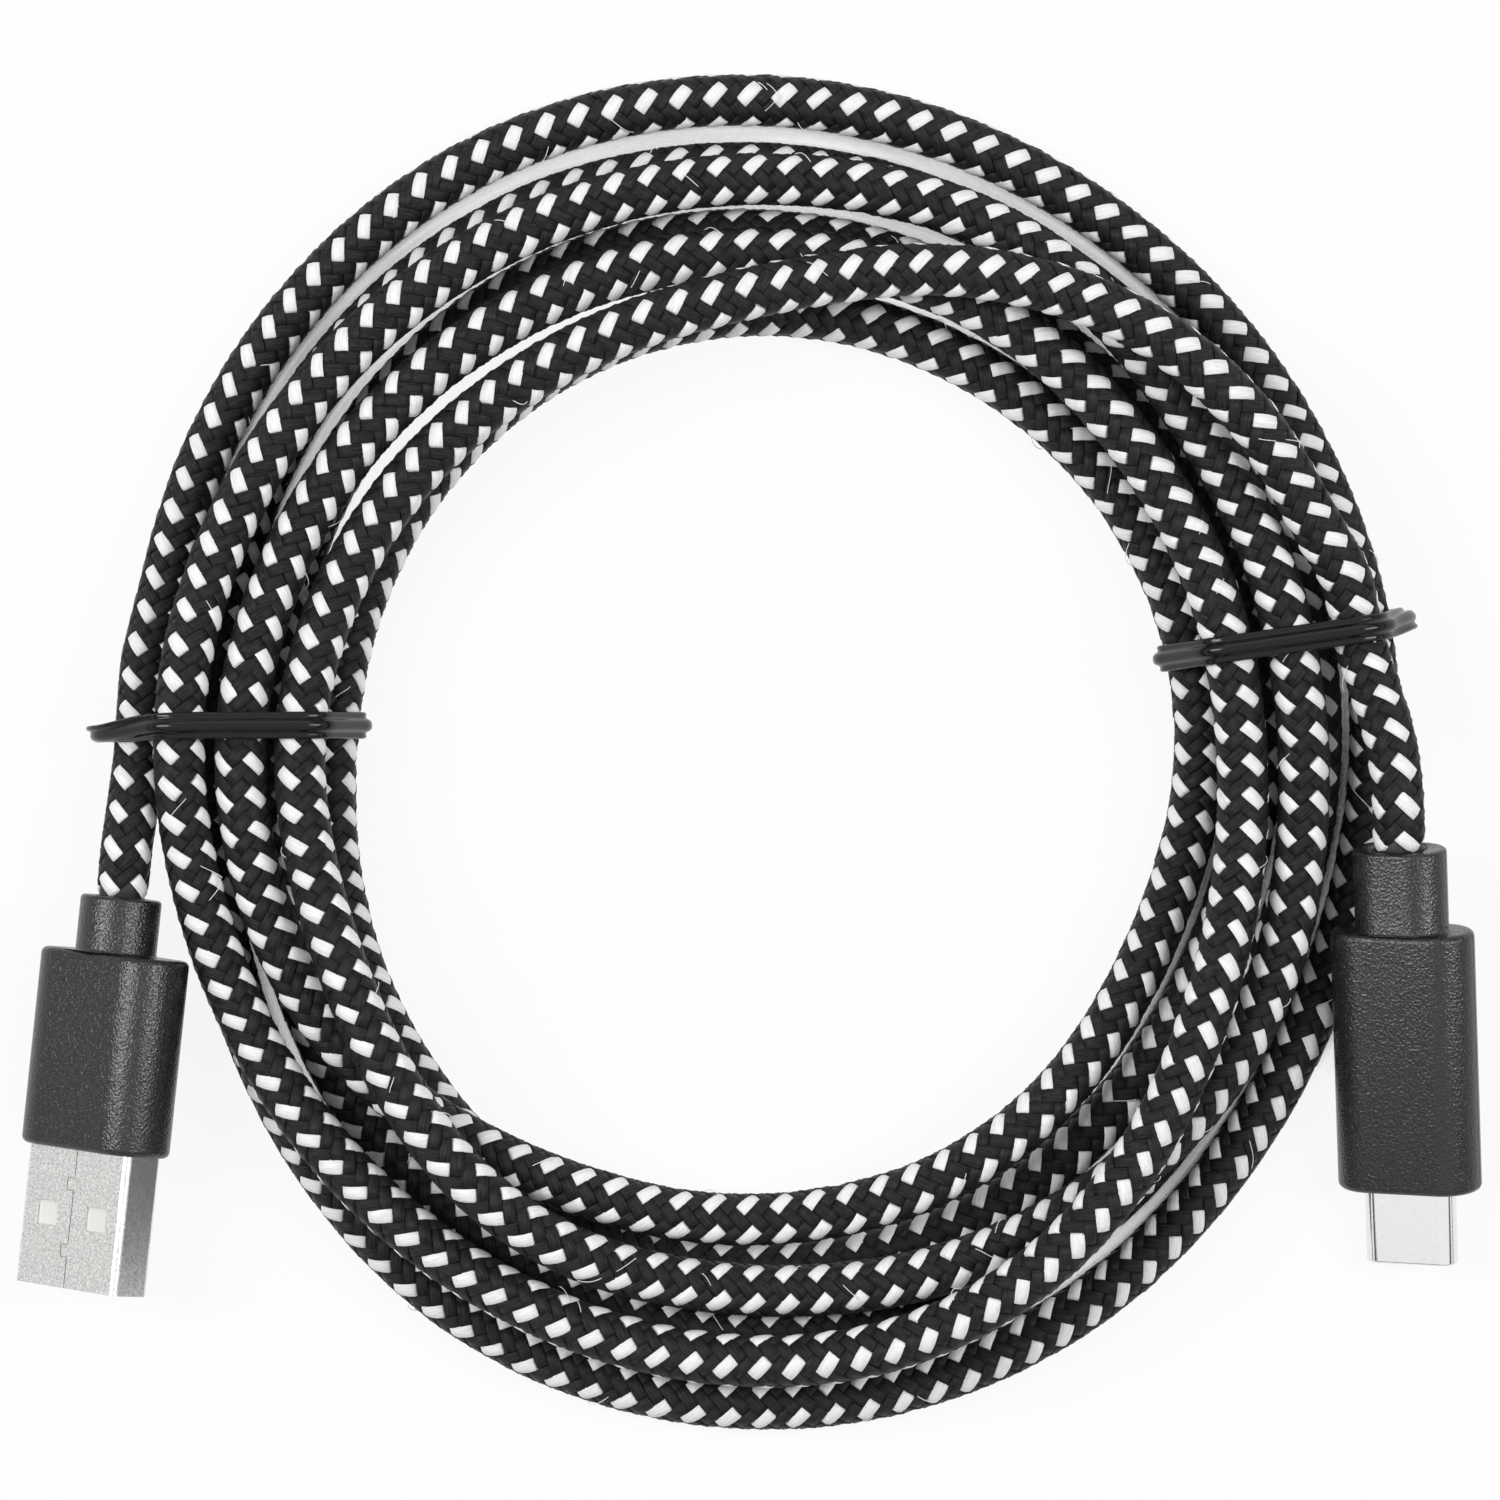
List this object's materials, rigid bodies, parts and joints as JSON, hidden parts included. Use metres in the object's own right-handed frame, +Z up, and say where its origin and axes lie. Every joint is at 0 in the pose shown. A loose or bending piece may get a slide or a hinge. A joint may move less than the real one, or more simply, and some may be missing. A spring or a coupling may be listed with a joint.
{
  "type": "usb charging cable",
  "caption": "Braided black and white charging cable with a USB-A plug and a USB-C plug, wound flat in a ring and held by twist ties.",
  "frame": {"origin": "centre of the underside of the whole cable's bounding box, on the surface it lies on", "axes": "+Z up from the surface, +X across the ring from the USB-A plug's side to the USB-C plug's side, +Y away from the plugs' tips"},
  "size_m": [0.1299, 0.1203, 0.0144],
  "materials": {
    "braid": "two-tone braided yarn",
    "jacket": "satin",
    "overmould": "fine spark-eroded grain",
    "inner_mould": "natural moulding, hidden",
    "plug_shell": "satin nickel plate",
    "tip_shell": "bright nickel plate",
    "white_insulator": "smooth moulding",
    "black_insulator": "smooth moulding",
    "contact": "gold plate",
    "spring": "stamped stainless sheet",
    "crimp": "stamped sheet",
    "can": "tin-plated sheet",
    "conductor": "coloured insulation",
    "board": "solder mask",
    "resistor": "chip body",
    "tie": "semi-gloss extruded strip",
    "tie_wire": "bright drawn wire"
  },
  "bodies": {
    "root": {"cord_coil": "braid", "cord_lead_usb_a": "braid", "cord_lead_usb_c": "braid", "left_tie_sleeve": "tie", "left_tie_wire": "tie_wire", "right_tie_sleeve": "tie", "right_tie_wire": "tie_wire", "usb_a_overmould": "overmould", "usb_a_inner_mould": "inner_mould", "usb_a_shell": "plug_shell", "usb_a_tongue": "white_insulator", "usb_a_contacts": "contact", "usb_a_crimp_band": "crimp", "usb_a_conductors": "conductor", "usb_a_cord_end": "braid", "usb_a_cord_jacket": "jacket", "usb_c_overmould": "overmould", "usb_c_inner_mould": "inner_mould", "usb_c_tip_shell": "tip_shell", "usb_c_contact_housing": "black_insulator", "usb_c_contacts_upper": "contact", "usb_c_contacts_lower": "contact", "usb_c_latch_springs": "spring", "usb_c_ground_springs": "spring", "usb_c_circuit_board": "board", "usb_c_board_resistor": "resistor", "usb_c_shield_can": "can", "usb_c_crimp_band": "crimp", "usb_c_conductors": "conductor", "usb_c_cord_end": "braid", "usb_c_cord_jacket": "jacket"}
  },
  "joints": []
}
